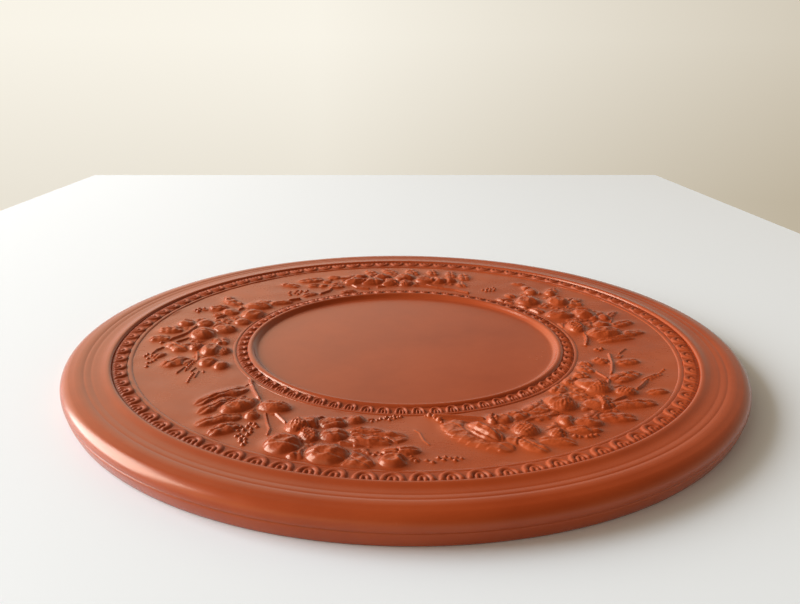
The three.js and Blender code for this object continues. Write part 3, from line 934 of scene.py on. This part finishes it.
back_right.leaf((369.4, 106.5), (371.7, 121), 6.5, 2.1, ribs=3)
back_right.leaf((376.2, 111), (380, 121.5), 3.8, 1.6)
back_right.leaf((371.4, 84.2), (378, 84.4), 4, 1.5)
back_right.leaf((388.2, 85), (395.6, 84.4), 5.5, 2.2)
back_right.leaf((395.6, 85.4), (401.4, 83.6), 5.2, 1.9)
back_right.leaf((387.4, 107.5), (394.8, 113.2), 8, 2.3, ribs=3)
back_right.leaf((390.3, 109), (392.3, 118), 4.6, 1.8)
back_right.leaf((400.2, 111.5), (403.2, 121), 5.4, 2.0, ribs=3)
back_right.leaf((402, 106), (411.2, 112.6), 5.4, 2.6, bow=1.0, ridge=0.4)
back_right.leaf((410.6, 115), (415.3, 113.4), 4, 1.5)
back_right.leaf((404.4, 86.6), (411.6, 84), 5.6, 2.0, bow=0.8)
back_right.leaf((402.6, 84.4), (407.5, 83.2), 4, 1.5)
back_right.leaf((406.6, 91.6), (411.4, 94.6), 5, 1.9)
back_right.fruit((364.2, 90.5), (365.4, 109), 12, 4.0, taper=0.05, seam=-0.2)
back_right.fruit((372, 98.4), (371, 107.6), 7.4, 2.8)
back_right.rough_fruit((372.1, 84), (371, 93.6), 13, 4.2)
back_right.fruit((378.1, 101), (376.9, 108), 6.6, 2.9)
back_right.fruit((376.7, 106), (375.7, 112.2), 7, 3.0, pit=0.8)
back_right.fruit((382.8, 97), (380, 108.2), 13, 4.4, seam=0.2)
back_right.fruit((387.2, 84.4), (380.9, 96.6), 10, 3.8, taper=0.08, seam=-0.3)
back_right.fruit((395.8, 98), (392.4, 109.2), 12.6, 4.2, seam=0.25)
back_right.fruit((401.8, 108.6), (399.6, 114.2), 8, 3.1)
back_right.fruit((403.5, 86), (397.8, 97.4), 12.4, 4.2, taper=0.1)
back_right.fruit((407, 102.2), (404, 108), 8.2, 3.3)
back_right.grains(
    [(416.8, 96.5), (417.8, 94.8), (418.4, 97.6), (419.4, 95.8), (419.6, 98.4), (417.2, 99.4)]
    + [(418.8, 93.6), (420.4, 94.4), (418.2, 101)],
    1.8,
    1.0,
)
back_right.build("spray_back_right")


# The spray at the back.
# Round fruits close together on twigs, with small leaves above and below.
# It is the same red clay, moulded apart, laid on the dish and fired with it.
back = Relief(63.5, 136.3, 0.0, 0.27, seed=14, spread=1.1)
back.underlay(
    [(73, 100), (77, 98), (81, 98), (85, 96), (89, 102), (94, 96), (98, 98), (102, 97), (106, 98)]
    + [(110, 100), (113, 98), (100, 108), (92, 108), (84, 106), (106, 108)]
)
back.stem([(64, 85.5), (70, 87.5), (77, 88.5), (84, 90.5), (92, 90), (100, 88.5)], 1.6, 1.2)
back.stem([(77, 88), (79.5, 90.5), (82, 94)], 1.2, 1.0)
back.stem([(104, 86), (106, 87.5), (108, 90), (109, 94)], 1.4, 1.2)
back.stem([(116, 96), (119, 89.5), (123.5, 87)], 1.5, 1.3)
back.stem([(100, 104), (106, 107), (111, 109), (118, 107)], 1.3, 1.1)
back.leaf((67.3, 94), (70.2, 104), 5, 1.8, bow=1.4)
back.leaf((69, 106), (72, 119), 6.4, 2.0, ribs=4)
back.leaf((74, 108), (76, 122), 6, 2.0, ribs=4)
back.leaf((80, 110.5), (81.8, 121.5), 6, 2.1, ribs=3)
back.leaf((86, 109), (88.5, 122), 7, 2.1, ribs=4)
back.leaf((92.5, 110), (96, 123), 6.6, 2.0, ribs=4)
back.leaf((99, 109), (101, 121.5), 6, 2.0, ribs=3)
back.leaf((109, 83.9), (116.2, 84.2), 4.6, 1.6)
back.leaf((111.8, 95), (118.2, 95), 6, 2.0, ribs=3)
back.leaf((119.3, 101), (123.8, 102.5), 5, 1.8)
back.leaf((110.5, 109.4), (114.4, 113), 5, 1.9)
back.leaf((114.5, 104.6), (117.6, 106), 4.4, 1.7)
back.leaf((115.8, 111.5), (124.4, 113), 7, 2.1, bow=1, ribs=4)
back.leaf((124, 90), (131, 88.5), 5, 1.7)
back.leaf((126, 104), (130, 115), 5.6, 1.9, ribs=3)
back.fruit((75, 97), (75, 106), 11.0, 3.6)
back.fruit((78.5, 94.4), (78.5, 103.4), 11.0, 4.0, pit=0.8)
back.fruit((82.6, 93.8), (82.4, 102.8), 10.8, 3.7)
back.fruit((87.3, 99), (91.6, 108), 12.0, 3.9, seam=0.2)
back.rough_fruit((86.5, 91.4), (92, 95.2), 9.1, 3.3)
back.acorn((93.4, 99), (97.6, 89.4), 10.8, 3.8, cup=0.42)
back.fruit((101.5, 91.2), (101.6, 102.8), 13.9, 4.0, seam=-0.2)
back.fruit((96.8, 101.4), (97.2, 109.4), 9.6, 3.4)
back.fruit((107, 94.6), (107.2, 104.4), 12.0, 3.9, pit=1.0)
back.fruit((103.6, 105.2), (104.4, 112), 7.4, 2.7)
back.fruit((118.8, 96.8), (118.9, 101), 5.0, 2.0)
back.grains(
    [(126, 96), (127.2, 94.5), (128, 97), (129, 95.2), (129.8, 98), (131, 96.2), (130.6, 94)]
    + [(132.4, 98.2), (133, 95.6), (128.8, 99.2), (131.4, 99.8)],
    1.8,
    1.0,
)
back.build("spray_back")


# The spray at the left.
# Arching stems with ribbed leaves, round fruits and hanging strings of small berries.
# It is the same red clay, moulded apart, laid on the dish and fired with it.
left = Relief(136.3, 213.5, 0.27, 0.0, seed=15, spread=1.15)
left.underlay(
    [(144, 94), (149, 92), (152, 98), (158, 100), (163, 90), (166, 96), (170, 98), (173, 91), (176, 100)]
    + [(182, 100), (187, 104), (189, 92), (195, 94), (168, 106), (173, 108), (158, 92)]
)
left.stem([(133.5, 86), (136, 87), (140, 88), (144, 89.5), (147, 92)], 2.0, 1.5)
left.stem([(147, 96), (152, 98), (157, 98), (161, 99.5), (165, 101)], 1.8, 1.4)
left.stem([(170, 106), (174, 106), (178, 107), (183.8, 113.7), (185, 116)], 1.5, 1.3)
left.stem([(181, 104), (184.9, 109.7), (189.8, 116.7), (192, 118)], 1.3, 1.1)
left.stem([(187.5, 98.3), (192, 98), (198.7, 98.5)], 1.4, 1.2)
left.stem([(199, 100), (202.5, 103), (203.5, 104.5)], 1.0, 0.9)
left.stem([(201.5, 104.5), (204.5, 108.5)], 1.0, 0.9)
left.stem([(202.5, 100), (204.5, 102.5)], 0.9, 0.8)
left.stem([(205, 97.5), (206, 97.7)], 0.9, 0.8)
left.stem([(205, 99.5), (208.5, 102.5)], 0.9, 0.8)
left.stem([(206, 102), (210.5, 106.5)], 0.9, 0.8)
left.leaf((144.8, 92), (137, 84), 4.6, 2.0, ridge=0.3)
left.leaf((151.4, 101), (148.2, 117.5), 6, 2.2, bow=2.0, ribs=3)
left.leaf((150.6, 112), (148, 118.5), 4.4, 1.8, bow=-1.4)
left.leaf((155.3, 103.6), (159.2, 113), 6.6, 2.6, ribs=3)
left.leaf((159.4, 111), (160, 119), 3.2, 1.4)
left.leaf((160.5, 100.5), (162.5, 106), 4, 1.7)
left.leaf((174.9, 110.5), (177.6, 122), 8, 2.4, ribs=4)
left.leaf((181.4, 113), (183.4, 123), 6.6, 2.2, ribs=3)
left.leaf((190.9, 102), (184.6, 112.6), 6.6, 2.7, bow=1.6, lobes=2)
left.leaf((195.5, 101.8), (199.9, 114), 8, 2.5, ribs=3)
left.leaf((197.4, 99), (200.6, 104.5), 4.2, 1.8)
left.leaf((191.2, 113), (194.8, 117), 4.2, 1.7)
left.leaf((180, 90.5), (186.5, 87), 6.4, 2.0, ribs=3)
left.fruit((151.4, 100), (146, 86.6), 8.6, 3.2, seam=0.3)
left.fruit((159, 104.6), (157.7, 94.2), 7.2, 2.8)
left.fruit((160.2, 91.4), (153.2, 83.6), 10, 3.8)
left.fruit((166.6, 90), (162.6, 83.6), 7.2, 2.7)
left.fruit((171.6, 116.4), (170.7, 107.6), 8, 3.1, seam=0.2)
left.fruit((170.7, 107.6), (169.1, 98.8), 8, 3.0)
left.fruit((173.6, 97), (172.2, 84.8), 9.4, 3.3, pit=0.8)
left.fruit((178.5, 105.4), (178.2, 93), 12, 4.2, seam=0.2)
left.rough_fruit((188.1, 102.6), (188.7, 95.4), 7.4, 3.1)
left.fruit((190.4, 97), (191.7, 87), 11, 4.0, taper=0.08)
left.rough_fruit((191.2, 88.2), (192.9, 83.4), 7.2, 2.7)
left.fruit((198.8, 98), (200.6, 89.8), 9, 3.1, seam=-0.2)
left.fruit((202.3, 92.2), (204.2, 86), 7.6, 2.8)
left.grains([(159, 115.2), (160.2, 116), (161.4, 115.6), (159.8, 117.4), (161, 117.8)], 2.2, 1.4)
left.grains(
    [(192, 120), (193.3, 118), (193, 121), (194.5, 119.5), (195.5, 116.5), (196.5, 118)]
    + [(197, 119.5), (199, 120)],
    1.8,
    1.0,
)
left.grains([(199 + 0.9 * k, 100.2 + 0.95 * k) for k in range(5)], 1.4, 1.1)
left.grains([(206 + 0.9 * k, 102 + 0.9 * k) for k in range(6)], 1.3, 1.0)
left.build("spray_left")
